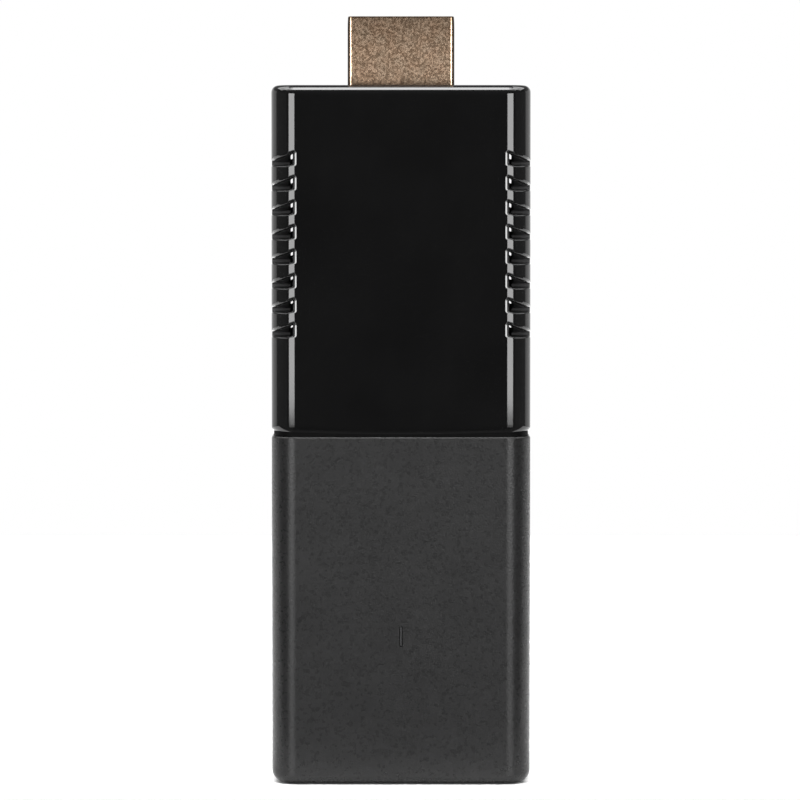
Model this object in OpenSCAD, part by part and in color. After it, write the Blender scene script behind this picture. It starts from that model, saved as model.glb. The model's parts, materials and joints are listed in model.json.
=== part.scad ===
// Streaming media player: a stick that plugs into a television's HDMI socket.
// A gloss vented housing in two halves holds the board, a matte tail slides over its lower end,
// and the HDMI plug leaves the top.
// X runs across the width, Y from the front face (-Y) to the back (+Y), Z up towards the plug.
// The origin is on the plug's centre line, at the face of the housing that the plug leaves.

/* [Housing] */
// Width of the housing
body_w = 33.7; // [33:0.1:36]
// Thickness of the housing, front to back
body_t = 13.5; // [13.5:0.1:15]
// Length of the housing without the plug
body_l = 90.9; // [90.9:0.1:96]
// Radius of the four long shoulders
shoulder_r = 3.3; // [2.6:0.1:3.6]
// Wall thickness at the front and back faces
face_wall = 1.3; // [1.1:0.1:1.4]
// Wall thickness at the sides of the gloss half shells
side_wall = 2.3; // [2.1:0.1:2.4]
// Wall thickness at the plug end
top_wall = 1.5; // [1.2:0.1:1.8]

/* [Groove between the gloss and matte parts] */
// Length of the gloss part at its sides
gloss_l = 44.85; // [44.4:0.05:44.95]
// How much further the gloss rim bows down at the middle of the front
lip_sag = 0.45; // [0.1:0.05:0.5]
// Depth of the groove ring below the outer surface
groove_depth = 0.3; // [0.2:0.05:0.5]
// Length of the matte tail
tail_l = 45.3; // [45.1:0.05:45.4]
// Wall thickness of the matte tail
tail_wall = 1.4; // [1.3:0.05:1.5]
// Length of the spigot inside the tail
spigot_l = 6; // [5:0.5:7]

/* [Vents] */
// Vent slots on each shoulder
vent_count = 8; // [4:1:8]
// Distance from one slot to the next
vent_pitch = 3.17; // [3.1:0.01:3.3]
// Distance from the plug end to the first slot
vent_start = 8.55; // [8.45:0.05:9.5]
// Height of a slot at its inner end
vent_h = 1.95; // [1.6:0.05:2]
// How far a slot's inner end is from the side
vent_reach = 3.05; // [2.9:0.05:3.1]
// How far the back slots sit nearer the plug than the front ones
vent_back_shift = 0.85; // [0.7:0.05:1.2]

/* [HDMI plug] */
// Width of the plug shell, set by the Type A standard
plug_w = 13.9; // [13.8:0.05:14]
// Thickness of the plug shell, set by the Type A standard
plug_t = 4.45; // [4.4:0.05:4.5]
// Length of the plug outside the housing
plug_out = 9; // [9:0.1:12]
// Sheet thickness of the plug shell
plug_sheet = 0.35; // [0.3:0.05:0.35]

/* [Board] */
// Width of the circuit board
board_w = 26.6; // [26.4:0.1:26.8]
// Thickness of the circuit board
board_t = 1; // [0.8:0.1:1]

/* [Indicator and reset] */
// Width of the indicator window
window_w = 0.5; // [0.44:0.02:0.8]
// Height of the indicator window
window_h = 2.67; // [2:0.05:3]
// Height of the window's centre above the tail end
window_up = 19.35; // [18:0.05:21]
// Travel of the reset plunger
reset_travel = 0.25; // [0.2:0.05:0.3]

/* [Hidden] */
arc_steps = 8;
round_fn = 32;
tiny = 0.01;
lap = 0.5;

// Housing, derived
half_w = body_w / 2;
half_t = body_t / 2;
tail_top = -(body_l - tail_l);
top_corner_r = 0.9;
top_edge_r = 1.3;
lip_r = 0.6;
tail_corner_r = 1.8;
tail_edge_r = 1.2;
tail_rim_r = 0.25;
tail_end_wall = 1.6;
cavity_w = body_w - 2 * side_wall;
cavity_t = body_t - 2 * face_wall;
cavity_r = 1.2;
slip = 0.05;
sleeve_in_w = body_w - 2 * tail_wall;
sleeve_in_t = body_t - 2 * tail_wall;
sleeve_in_r = shoulder_r - tail_wall;
spigot_w = sleeve_in_w - 2 * slip;
spigot_t = sleeve_in_t - 2 * slip;
spigot_r = sleeve_in_r - slip;
spigot_wall = 0.9;
seam_depth = 0.8;
seam_wall = 1.1;
latch_w = 8;
latch_h = 1;
latch_out = 0.35;
latch_down = 3.5;
latch_gap = 0.15;

// Vents, derived
vent_slope = 0.33;
vent_low_drop = 0.16;
vent_low_corner = 1.05;
vent_rim = 1.2;

// Board stack, measured from the middle plane
board_top = -5.6;
board_bottom = -body_l + 3.2;
board_l = board_top - board_bottom;
board_face = board_t / 2;
solder = 0.02;
screw_x = 10.8;
screw_z = -9.6;
screw_hole_r = 0.9;
screw_shank_r = 0.75;
screw_head_r = 1.5;
screw_head_h = 0.8;
screw_l = 4;
boss_r = 1.65;
pilot_r = 0.8;
pilot_l = 4.2;

// Main chips on the front of the board
processor_side = 12;
processor_h = 1.1;
processor_z = -22.5;
memory_w = 8;
memory_l = 11;
memory_h = 1;
memory_x = 5;
memory_z = -36;
can_w = 23;
can_l = 30;
can_z = -29.5;
can_h = 1.7;
can_sheet = 0.25;
lid_skirt = 0.9;
processor_pad_side = 10;
spreader_pad_w = 19;
spreader_pad_l = 26;
spreader_w = 25.6;
spreader_l = 27;
spreader_h = 1.2;
spreader_pad_h = 1;
fin_count = 9;
fin_w = 0.8;
fin_h = 0.4;

// Chips on the back of the board
storage_w = 11.5;
storage_l = 13;
storage_h = 1;
storage_z = -26;
storage_pad_h = 1.5;
back_spreader_w = 24;
back_spreader_l = 32;
back_spreader_h = 1;
wifi_side = 12;
wifi_h = 1.9;
wifi_z = -61;
antenna_w = 17;
antenna_rise = 2.4;
antenna_sheet = 0.3;
antenna_leg = 1.2;
antenna_z = -77.5;
antenna_l = 5;

// Power parts
regulator_side = 5;
regulator_h = 0.9;
regulator_z = -56;
inductor_side = 3;
inductor_h = 1.6;
inductor_pitch = 4.2;
inductor_count = 4;
inductor_z = -63;
crystal_w = 3.2;
crystal_l = 2.5;
crystal_h = 0.8;
crystal_x = -8.5;
crystal_z = -50;
filter_w = 1;
filter_l = 2.5;
filter_h = 0.55;
filter_pitch = 2.2;
filter_count = 4;
filter_z = -10;
cap_l = 1;
cap_w = 0.55;
cap_h = 0.55;
cap_pitch = 1.6;

// Indicator
window_z = -body_l + window_up;
pipe_gap = 0.04;
pipe_proud = 0.04;
pipe_foot_w = 2;
pipe_foot_h = 3.8;
pipe_foot_t = 0.8;
led_w = 1.6;
led_l = 0.8;
led_h = 0.6;
pipe_led_gap = 0.3;

// Micro-USB inlet, Micro-B receptacle
usb_w = 7.5;
usb_t = 2.5;
usb_l = 5;
usb_sheet = 0.3;
usb_chamfer = 0.9;
usb_recess = 0.3;
usb_gap = 0.2;
usb_back_l = 1.2;
usb_tongue_w = 3.9;
usb_tongue_t = 0.6;
usb_tongue_l = 3.2;
usb_tongue_y = -0.3;
usb_pins = 5;
usb_pin_w = 0.36;
usb_pin_t = 0.12;
usb_pitch = 0.65;
usb_mouth_z = -body_l + usb_recess;
usb_back_z = usb_mouth_z + usb_l;
usb_notch_z = usb_back_z + 0.25;

// HDMI plug
plug_in = 5.6;
plug_corner_r = 0.5;
plug_taper_w = 1.35;
plug_taper_t = 1.25;
plug_gap = 0.15;
ear_l = 3.4;
ear_t = 1.2;
insulator_back = 0.6;
socket_w = 11.4;
socket_t = 2;
socket_l = 7;
pin_w = 0.5;
pin_t = 0.2;
pin_pitch = 1;
pin_rows = [[10, -1], [9, 1]];
pin_foot_l = 1.8;

// Reset switch
reset_x = 9.6;
switch_w = 4.6;
switch_l = 2.6;
switch_h = 1.9;
switch_front_z = board_bottom + 0.2;
plunger_w = 1.6;
plunger_t = 0.9;
plunger_out = 0.7;
plunger_deep = 0.9;
plunger_gap = 0.05;
pinhole_r = 0.6;

// Label on the back
label_w = 20;
label_l = 22;
label_r = 1;
label_depth = 0.12;
label_t = 0.08;
label_gap = 0.1;
label_up = 22;

// Points on a quarter or longer arc, from one angle to another
function arc(x, y, r, from, to) = [
    for (s = [0:arc_steps]) let (a = from + (to - from) * s / arc_steps)
        [x + r * cos(a), y + r * sin(a)]
];

// Outline of a rectangle with four rounded corners, centred on the origin
function rounded_outline(w, h, r) = concat(
    arc(w / 2 - r, h / 2 - r, r, 0, 90),
    arc(r - w / 2, h / 2 - r, r, 90, 180),
    arc(r - w / 2, r - h / 2, r, 180, 270),
    arc(w / 2 - r, r - h / 2, r, 270, 360));

// Upright prism with rounded long edges
module rounded_prism(w, h, r, low, high)
    translate([0, 0, low]) linear_extrude(high - low) polygon(rounded_outline(w, h, r));

// Outline seen from the front, drawn in X and Z, pushed through the thickness
module through_y(depth) rotate([90, 0, 0]) linear_extrude(depth, center = true) children();

// Outline seen from the side, drawn in Y and Z, pushed through the width
module through_x(depth) rotate([90, 0, 90]) linear_extrude(depth, center = true) children();

// A flat block on the board: side -1 is the front of the board, 1 the back
module board_block(w, l, h, x, z, side, lift = 0)
    translate([x, side * (board_face + solder + lift + h / 2), z]) cube([w, h, l], center = true);

// Half of the space in front of (-1) or behind (1) the middle plane
module half_space(side)
    translate([0, side * body_t, -body_l / 2]) cube([2 * body_w, 2 * body_t, 2 * body_l], center = true);

// ---- Gloss housing ----

// Height of the bowed gloss rim at a distance from the middle
function lip_z(x) = -gloss_l - lip_sag * (1 - pow(x / half_w, 2));

// Gloss part before it is hollowed: section, front outline and side outline meet
module gloss_form() {
    lip_half = half_w - lip_r;
    intersection() {
        rounded_prism(body_w, body_t, shoulder_r, -gloss_l - lip_sag, 0);
        through_y(body_t + 1) polygon(concat(
            arc(half_w - top_corner_r, -top_corner_r, top_corner_r, 0, 90),
            arc(top_corner_r - half_w, -top_corner_r, top_corner_r, 90, 180),
            arc(lip_r - half_w, lip_z(lip_half) + lip_r, lip_r, 180, 270),
            [for (s = [1 - arc_steps:arc_steps - 1]) let (x = lip_half * s / arc_steps) [x, lip_z(x)]],
            arc(half_w - lip_r, lip_z(lip_half) + lip_r, lip_r, 270, 360)));
        through_x(body_w + 1) polygon(concat(
            arc(half_t - top_edge_r, -top_edge_r, top_edge_r, 0, 90),
            arc(top_edge_r - half_t, -top_edge_r, top_edge_r, 90, 180),
            arc(lip_r - half_t, lip_z(0) + lip_r, lip_r, 180, 270),
            arc(half_t - lip_r, lip_z(0) + lip_r, lip_r, 270, 360)));
    }
}

// Outline of one vent slot from the front: the upper edge falls towards the side
module vent_outline(drop)
    polygon([[half_w - vent_reach, drop - vent_low_drop],
        [half_w - vent_reach + vent_low_drop, drop],
        [half_w + lap, drop - vent_slope * (vent_reach + lap)],
        [half_w + lap, drop - vent_h],
        [half_w - vent_reach + vent_low_corner, drop - vent_h - vent_low_drop / 2],
        [half_w - vent_reach, drop - vent_h + vent_low_drop]]);

// The row of slots on both shoulders of one half shell
module vent_cuts(side) {
    shift = side > 0 ? vent_back_shift : 0;
    depth = half_t - vent_rim + lap;
    for (flip = [0, 1], k = [0:vent_count - 1])
        mirror([flip, 0, 0]) translate([0, side * (vent_rim + depth / 2), 0])
            through_y(depth) vent_outline(shift - vent_start - k * vent_pitch);
}

// Rim that the two halves share inside the side walls: it stands on the back half
module seam_lip(gap) {
    lip_low = tail_top + 2;
    difference() {
        translate([0, (lap - seam_depth - gap) / 2, 0])
            rounded_prism(body_w - 2 * seam_wall + 2 * gap, seam_depth + gap + lap, 0.2,
                lip_low - gap, -top_wall - 1 + gap);
        rounded_prism(cavity_w - 2 * gap, body_t, cavity_r, tail_top - spigot_l, 0);
    }
}

// Snap latches on the front and back of the spigot, and their pockets in the tail
module latches(gap) {
    reach = spigot_t / 2 + latch_out;
    for (side = [-1, 1])
        translate([0, side * (reach + gap) / 2, tail_top - latch_down])
            cube([latch_w + 2 * gap, reach + gap, latch_h + 2 * gap], center = true);
}

// Both half shells as one body, before they are parted
module gloss_shell() {
    difference() {
        union() {
            gloss_form();
            rounded_prism(body_w - 2 * groove_depth, body_t - 2 * groove_depth,
                shoulder_r - groove_depth, tail_top, -gloss_l + 2);
            rounded_prism(spigot_w, spigot_t, spigot_r, tail_top - spigot_l, tail_top + 1);
            latches(0);
        }
        rounded_prism(cavity_w, cavity_t, cavity_r, tail_top + 2, -top_wall);
        rounded_prism(spigot_w - 2 * spigot_wall, spigot_t - 2 * spigot_wall, cavity_r,
            tail_top - spigot_l - lap, tail_top + 2 + lap);
        translate([0, 0, -top_wall - lap]) linear_extrude(top_wall + 2 * lap) plug_outline(plug_gap);
    }
}

module front_cover() color("#161616") {
    difference() {
        union() {
            intersection() { gloss_shell(); half_space(-1); }
            for (x = [-screw_x, screw_x])
                translate([x, -board_face, screw_z]) rotate([90, 0, 0])
                    cylinder(r = boss_r, h = half_t - board_face - face_wall + lap, $fn = round_fn);
        }
        vent_cuts(-1);
        intersection() { seam_lip(slip); half_space(-1); }
        for (x = [-screw_x, screw_x])
            translate([x, lap, screw_z]) rotate([90, 0, 0])
                cylinder(r = pilot_r, h = pilot_l + board_face + lap, $fn = round_fn);
    }
}

module rear_cover() color("#161616") {
    difference() {
        union() {
            intersection() { gloss_shell(); half_space(1); }
            seam_lip(0);
        }
        vent_cuts(1);
    }
}

// ---- Matte tail ----

module tail_form() {
    intersection() {
        rounded_prism(body_w, body_t, shoulder_r, -body_l, tail_top);
        through_y(body_t + 1) polygon(concat(
            arc(half_w - tail_rim_r, tail_top - tail_rim_r, tail_rim_r, 0, 90),
            arc(tail_rim_r - half_w, tail_top - tail_rim_r, tail_rim_r, 90, 180),
            arc(tail_corner_r - half_w, tail_corner_r - body_l, tail_corner_r, 180, 270),
            arc(half_w - tail_corner_r, tail_corner_r - body_l, tail_corner_r, 270, 360)));
        through_x(body_w + 1) polygon(concat(
            arc(half_t - tail_rim_r, tail_top - tail_rim_r, tail_rim_r, 0, 90),
            arc(tail_rim_r - half_t, tail_top - tail_rim_r, tail_rim_r, 90, 180),
            arc(tail_edge_r - half_t, tail_edge_r - body_l, tail_edge_r, 180, 270),
            arc(half_t - tail_edge_r, tail_edge_r - body_l, tail_edge_r, 270, 360)));
    }
}

module tail_sleeve() color("#3c3c3c") {
    difference() {
        tail_form();
        rounded_prism(sleeve_in_w, sleeve_in_t, sleeve_in_r, -body_l + tail_end_wall, tail_top + lap);
        latches(latch_gap);
        // Indicator window
        translate([0, -half_t, window_z]) through_y(4 * tail_wall)
            polygon(rounded_outline(window_w, window_h, window_w / 2));
        // Opening for the micro-USB inlet
        translate([0, 0, -body_l - lap]) linear_extrude(tail_end_wall + 2 * lap) usb_outline(usb_gap);
        // Pinhole over the reset plunger
        translate([reset_x, plunger_y, -body_l - lap])
            cylinder(r = pinhole_r, h = tail_end_wall + 2 * lap, $fn = round_fn);
        // Recess for the label
        translate([0, half_t, label_z]) through_y(2 * label_depth)
            polygon(rounded_outline(label_w + 2 * label_gap, label_l + 2 * label_gap, label_r + label_gap));
    }
}

label_z = -body_l + label_up;

module rating_label() color("#2a2a2c")
    translate([0, half_t - label_depth + label_t / 2, label_z]) through_y(label_t)
        polygon(rounded_outline(label_w, label_l, label_r));

// ---- Indicator ----

module led_light_pipe() color("#4a4a4a") {
    foot_front = half_t - tail_wall - pipe_gap;
    foot_back = board_face + solder + led_h + pipe_led_gap;
    pipe_w = window_w - 2 * pipe_gap;
    pipe_h = window_h - 2 * pipe_gap;
    tip = half_t + pipe_proud;
    translate([0, -(tip + foot_back) / 2, window_z]) through_y(tip - foot_back)
        polygon(rounded_outline(pipe_w, pipe_h, pipe_w / 2));
    translate([0, -foot_front + pipe_foot_t / 2, window_z])
        cube([pipe_foot_w, pipe_foot_t, pipe_foot_h], center = true);
}

module status_led() color("#f2efe2")
    board_block(led_w, led_l, led_h, 0, window_z, -1);

// ---- HDMI plug ----

// Section of the plug: square-shouldered at the front, tapered at the back
module plug_outline(grow) {
    w = plug_w / 2 + grow;
    t = plug_t / 2 + grow;
    polygon(concat(
        [[w, t - plug_taper_t], [w - plug_taper_w, t], [plug_taper_w - w, t], [-w, t - plug_taper_t]],
        arc(plug_corner_r - w, plug_corner_r - t, plug_corner_r, 180, 270),
        arc(w - plug_corner_r, plug_corner_r - t, plug_corner_r, 270, 360)));
}

module hdmi_plug_shell() color("#91796a") {
    translate([0, 0, -plug_in])
        difference() {
            linear_extrude(plug_out + plug_in) plug_outline(0);
            translate([0, 0, -lap]) linear_extrude(plug_out + plug_in + 2 * lap) plug_outline(-plug_sheet);
        }
    // Ears that are soldered through the board
    for (side = [-1, 1])
        translate([side * (plug_w - plug_sheet) / 2, 0, -plug_in - ear_l / 2 + tiny])
            cube([plug_sheet, ear_t, ear_l], center = true);
}

module hdmi_insulator() color("#151515")
    difference() {
        translate([0, 0, -plug_in]) linear_extrude(plug_in + plug_out - insulator_back)
            plug_outline(-plug_sheet);
        translate([0, 0, plug_out - socket_l / 2]) cube([socket_w, socket_t, socket_l + tiny], center = true);
        for (row = pin_rows, k = [0:row[0] - 1]) hdmi_pin(row, k, tiny);
    }

// One contact: a blade along the slot's wall and a foot on the board's face
module hdmi_pin(row, k, grow) {
    x = (k - (row[0] - 1) / 2) * pin_pitch;
    blade_y = row[1] * (socket_t / 2 + pin_t / 2 - 0.06);
    foot_y = row[1] * (board_face + solder + pin_t / 2);
    high = plug_out - insulator_back - 1;
    low = -plug_in + 1;
    translate([x, blade_y, (high + low) / 2]) cube([pin_w + grow, pin_t + grow, high - low], center = true);
    translate([x, (blade_y + foot_y) / 2, low])
        cube([pin_w + grow, abs(blade_y - foot_y) + pin_t + grow, pin_t + grow], center = true);
    translate([x, foot_y, low - (1 + pin_foot_l) / 2])
        cube([pin_w + grow, pin_t + grow, 1 + pin_foot_l], center = true);
}

module hdmi_contacts() color("#d9b24a")
    for (row = pin_rows, k = [0:row[0] - 1]) hdmi_pin(row, k, 0);

// ---- Micro-USB inlet ----

// Section of the inlet: flat towards the front, tapered at the back
module usb_outline(grow) {
    w = usb_w / 2 + grow;
    t = usb_t / 2 + grow;
    polygon([[-w, -t], [w, -t], [w, t - usb_chamfer], [w - usb_chamfer, t],
        [usb_chamfer - w, t], [-w, t - usb_chamfer]]);
}

module usb_receptacle_shell() color("#b9bbbd")
    translate([0, 0, usb_mouth_z])
        difference() {
            linear_extrude(usb_l) usb_outline(0);
            translate([0, 0, -lap]) linear_extrude(usb_l + 2 * lap) usb_outline(-usb_sheet);
        }

module usb_receptacle_tongue() color("#101010")
    difference() {
        union() {
            translate([0, 0, usb_back_z - usb_back_l]) linear_extrude(usb_back_l) usb_outline(-usb_sheet);
            translate([0, usb_tongue_y, usb_back_z - usb_back_l - usb_tongue_l / 2 + tiny])
                cube([usb_tongue_w, usb_tongue_t, usb_tongue_l], center = true);
        }
        for (k = [0:usb_pins - 1]) usb_pin(k, tiny);
    }

// One contact: a strip on the tongue's back face and a foot on the board
module usb_pin(k, grow) {
    x = (k - (usb_pins - 1) / 2) * usb_pitch;
    strip_y = usb_tongue_y + (usb_tongue_t + usb_pin_t) / 2 - 0.05;
    low = usb_back_z - usb_back_l - usb_tongue_l + 0.5;
    translate([x, strip_y, (low + usb_back_z) / 2])
        cube([usb_pin_w + grow, usb_pin_t + grow, usb_back_z - low], center = true);
    translate([x, (strip_y + board_face + solder + usb_pin_t / 2) / 2, usb_back_z + usb_pin_t / 2])
        cube([usb_pin_w + grow, board_face + solder + 1.5 * usb_pin_t - strip_y + grow,
            usb_pin_t + grow], center = true);
    translate([x, board_face + solder + usb_pin_t / 2, usb_back_z + 0.6])
        cube([usb_pin_w + grow, usb_pin_t + grow, 1.2], center = true);
}

module usb_receptacle_contacts() color("#d9b24a")
    for (k = [0:usb_pins - 1]) usb_pin(k, 0);

// ---- Board and what it carries ----

module main_pcb() color("#1c3f2c")
    difference() {
        translate([0, 0, (board_top + board_bottom) / 2]) through_y(board_t)
            polygon(rounded_outline(board_w, board_l, 1));
        for (x = [-screw_x, screw_x])
            translate([x, 0, screw_z]) rotate([90, 0, 0])
                cylinder(r = screw_hole_r, h = 2 * board_t, center = true, $fn = round_fn);
        // Slots for the plug's ears, open at the board's edge
        for (side = [-1, 1])
            translate([side * (plug_w - plug_sheet) / 2, 0, board_top - ear_l / 2 + lap / 2])
                cube([plug_sheet + 4 * slip, 2 * board_t, ear_l + lap + 2 * slip], center = true);
        // Notch that the micro-USB inlet sinks into
        translate([0, 0, (board_bottom + usb_notch_z - lap) / 2])
            cube([usb_w + 4 * slip, 2 * board_t, usb_notch_z - board_bottom + lap], center = true);
    }

module system_processor() color("#202224")
    board_block(processor_side, processor_side, processor_h, 0, processor_z, -1);

module memory_chips() color("#1b1c1e")
    for (side = [-1, 1])
        board_block(memory_w, memory_l, memory_h, side * memory_x, memory_z, -1);

module flash_storage_chip() color("#1b1c1e")
    board_block(storage_w, storage_l, storage_h, 0, storage_z, 1);

module wifi_module() color("#b4b6b8")
    board_block(wifi_side, wifi_side, wifi_h, 0, wifi_z, 1);

// Bent-sheet aerial: a strip held off the board on two legs
module wifi_antenna() color("#c9cbcc") {
    board_block(antenna_w, antenna_l, antenna_sheet, 0, antenna_z, 1, antenna_rise - antenna_sheet);
    for (side = [-1, 1])
        board_block(antenna_sheet, antenna_leg, antenna_rise - antenna_sheet / 2,
            side * (antenna_w - antenna_sheet) / 2, antenna_z, 1);
}

module power_regulator() color("#1b1c1e")
    board_block(regulator_side, regulator_side, regulator_h, 0, regulator_z, -1);

module power_inductors() color("#4b4a48")
    for (k = [0:inductor_count - 1])
        board_block(inductor_side, inductor_side, inductor_h,
            (k - (inductor_count - 1) / 2) * inductor_pitch, inductor_z, -1);

module crystal_oscillator() color("#c2c4c6")
    board_block(crystal_w, crystal_l, crystal_h, crystal_x, crystal_z, -1);

module esd_filters() color("#1b1c1e")
    for (k = [0:filter_count - 1])
        board_block(filter_w, filter_l, filter_h, (k - (filter_count - 1) / 2) * filter_pitch,
            filter_z, -1);

// A row of chip capacitors across the board
module cap_row(count, x, z, side)
    for (k = [0:count - 1])
        board_block(cap_w, cap_l, cap_h, x + (k - (count - 1) / 2) * cap_pitch, z, side);

module ceramic_capacitors() color("#b59a72") {
    cap_row(6, 0, -47.5, -1);
    cap_row(3, 8.5, -50.5, -1);
    cap_row(8, 0, -67, -1);
    cap_row(8, 0, -13, 1);
    cap_row(8, 0, -47.5, 1);
    cap_row(8, 0, -70.5, 1);
}

// Can over the processor and memory: a soldered fence and a lid that clips over it
module shield_frame() color("#c4c6c8")
    translate([0, -board_face - solder - can_h / 2, can_z])
        difference() {
            cube([can_w, can_h, can_l], center = true);
            cube([can_w - 2 * can_sheet, can_h + lap, can_l - 2 * can_sheet], center = true);
        }

module shield_lid() color("#cdcfd1") {
    side = 2 * (can_sheet + slip);
    translate([0, -board_face - solder - can_h - can_sheet / 2, can_z])
        cube([can_w + side, can_sheet, can_l + side], center = true);
    translate([0, -board_face - solder - can_h + lid_skirt / 2, can_z])
        difference() {
            cube([can_w + side, lid_skirt + tiny, can_l + side], center = true);
            cube([can_w + 2 * slip, lid_skirt + lap, can_l + 2 * slip], center = true);
        }
}

lid_top = can_h + can_sheet;

module processor_thermal_pad() color("#8f9aa3")
    board_block(processor_pad_side, processor_pad_side, can_h - processor_h,
        0, processor_z, -1, processor_h);

module spreader_thermal_pad() color("#8f9aa3")
    board_block(spreader_pad_w, spreader_pad_l, spreader_pad_h, 0, can_z, -1, lid_top);

// Aluminium plate with shallow ribs towards the front cover
module front_heat_spreader() color("#a9abad") {
    lift = lid_top + spreader_pad_h;
    board_block(spreader_w, spreader_l, spreader_h, 0, can_z, -1, lift);
    for (k = [0:fin_count - 1])
        board_block(fin_w, spreader_l, fin_h, (k / (fin_count - 1) - 0.5) * (spreader_w - fin_w), can_z,
            -1, lift + spreader_h - tiny);
}

module storage_thermal_pad() color("#8f9aa3")
    board_block(storage_w, storage_l, storage_pad_h, 0, storage_z, 1, storage_h);

module rear_heat_spreader() color("#a9abad")
    board_block(back_spreader_w, back_spreader_l, back_spreader_h, 0, can_z, 1, storage_h + storage_pad_h);

// ---- Reset switch ----

plunger_y = -board_face - solder - switch_h / 2;

module plunger_block(grow)
    translate([reset_x, plunger_y, switch_front_z + (plunger_deep - plunger_out) / 2])
        cube([plunger_w + 2 * grow, plunger_t + 2 * grow, plunger_deep + plunger_out + 2 * grow],
            center = true);

module reset_switch_body() color("#1a1a1a")
    difference() {
        board_block(switch_w, switch_l, switch_h, reset_x, switch_front_z + switch_l / 2, -1);
        plunger_block(plunger_gap);
        translate([0, 0, reset_travel]) plunger_block(plunger_gap);
    }

module reset_switch_plunger() color("#e8e8e4") plunger_block(0);

// ---- Screws ----

module pcb_screws() color("#9a9c9e")
    for (x = [-screw_x, screw_x])
        translate([x, board_face + solder, screw_z]) {
            difference() {
                rotate([-90, 0, 0]) cylinder(r = screw_head_r, h = screw_head_h, $fn = round_fn);
                for (turn = [0, 90])
                    translate([0, screw_head_h, 0]) rotate([0, turn, 0])
                        cube([1.6, 0.8, 0.35], center = true);
            }
            translate([0, tiny, 0]) rotate([90, 0, 0])
                cylinder(r = screw_shank_r, h = screw_l, $fn = round_fn);
        }

front_cover();
rear_cover();
tail_sleeve();
led_light_pipe();
rating_label();
hdmi_plug_shell();
hdmi_insulator();
hdmi_contacts();
usb_receptacle_shell();
usb_receptacle_tongue();
usb_receptacle_contacts();
main_pcb();
system_processor();
memory_chips();
flash_storage_chip();
wifi_module();
wifi_antenna();
power_regulator();
power_inductors();
crystal_oscillator();
esd_filters();
ceramic_capacitors();
status_led();
shield_frame();
shield_lid();
processor_thermal_pad();
spreader_thermal_pad();
front_heat_spreader();
storage_thermal_pad();
rear_heat_spreader();
reset_switch_body();
reset_switch_plunger();
pcb_screws();
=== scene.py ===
"""Looks of a streaming media player: smooth shells, plug and details built round the CAD frame.

Lengths are in millimetres until a mesh is made. X is the width, -Y the front, +Z towards the plug.
"""

import json
import math

import bpy
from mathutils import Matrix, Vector
from mathutils.geometry import delaunay_2d_cdt

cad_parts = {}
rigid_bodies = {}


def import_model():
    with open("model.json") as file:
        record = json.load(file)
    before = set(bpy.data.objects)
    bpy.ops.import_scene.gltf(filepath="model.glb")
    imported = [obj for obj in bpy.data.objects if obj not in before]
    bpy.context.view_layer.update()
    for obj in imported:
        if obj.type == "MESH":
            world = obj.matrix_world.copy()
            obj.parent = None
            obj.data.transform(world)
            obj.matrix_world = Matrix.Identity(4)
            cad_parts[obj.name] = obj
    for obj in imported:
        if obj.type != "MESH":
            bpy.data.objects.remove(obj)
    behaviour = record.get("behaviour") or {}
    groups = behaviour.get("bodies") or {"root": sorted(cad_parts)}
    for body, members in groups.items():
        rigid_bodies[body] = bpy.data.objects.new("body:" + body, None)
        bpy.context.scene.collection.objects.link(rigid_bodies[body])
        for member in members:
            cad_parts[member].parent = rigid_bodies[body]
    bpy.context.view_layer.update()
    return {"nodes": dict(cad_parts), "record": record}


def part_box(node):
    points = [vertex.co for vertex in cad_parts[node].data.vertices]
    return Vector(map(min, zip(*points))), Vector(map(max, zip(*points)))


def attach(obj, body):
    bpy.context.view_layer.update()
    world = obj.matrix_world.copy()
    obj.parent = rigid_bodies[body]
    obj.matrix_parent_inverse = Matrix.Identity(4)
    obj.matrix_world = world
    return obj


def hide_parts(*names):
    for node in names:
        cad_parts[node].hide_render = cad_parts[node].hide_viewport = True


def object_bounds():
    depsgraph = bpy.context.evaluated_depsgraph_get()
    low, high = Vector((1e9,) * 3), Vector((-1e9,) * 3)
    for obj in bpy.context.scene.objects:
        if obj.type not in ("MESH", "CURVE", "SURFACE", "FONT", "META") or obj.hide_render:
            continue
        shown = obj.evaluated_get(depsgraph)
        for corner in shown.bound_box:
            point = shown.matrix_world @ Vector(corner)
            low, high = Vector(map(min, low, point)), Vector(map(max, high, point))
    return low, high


MM = 0.001
QUARTER_TURN = math.pi / 2

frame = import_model()
scene = bpy.context.scene


def box_mm(node):
    """Lowest and highest corner of a CAD node, in millimetres."""
    low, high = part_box(node)
    return low / MM, high / MM


# ------------ sizes

cover_low, cover_high = box_mm("front_cover")
tail_low, tail_high = box_mm("tail_sleeve")
plug_low, plug_high = box_mm("hdmi_plug_shell")
label_low, label_high = box_mm("rating_label")
pipe_low, pipe_high = box_mm("led_light_pipe")

HALF_W = cover_high.x
HALF_T = -cover_low.y
SHOULDER_R = 3.3
TAIL_TOP = tail_high.z
TAIL_END = tail_low.z
SPIGOT_END = cover_low.z

TOP_CORNER_R = 0.9
TOP_EDGE_R = 1.3
TOP_WALL = 1.5
FACE_WALL = 1.3
SIDE_WALL = 2.4
SEAM_BEVEL = 0.07

LIP_SIDE_Z = -44.85
LIP_SAG = 0.45
LIP_FACE_H = 1.0
LIP_SIDE_H = 0.45
GROOVE_DEPTH = 0.3
SPIGOT_INSET = 1.45
SPIGOT_WALL = 0.9
SPIGOT_BLEND_UP = 0.5
SPIGOT_BLEND_L = 0.8

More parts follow.
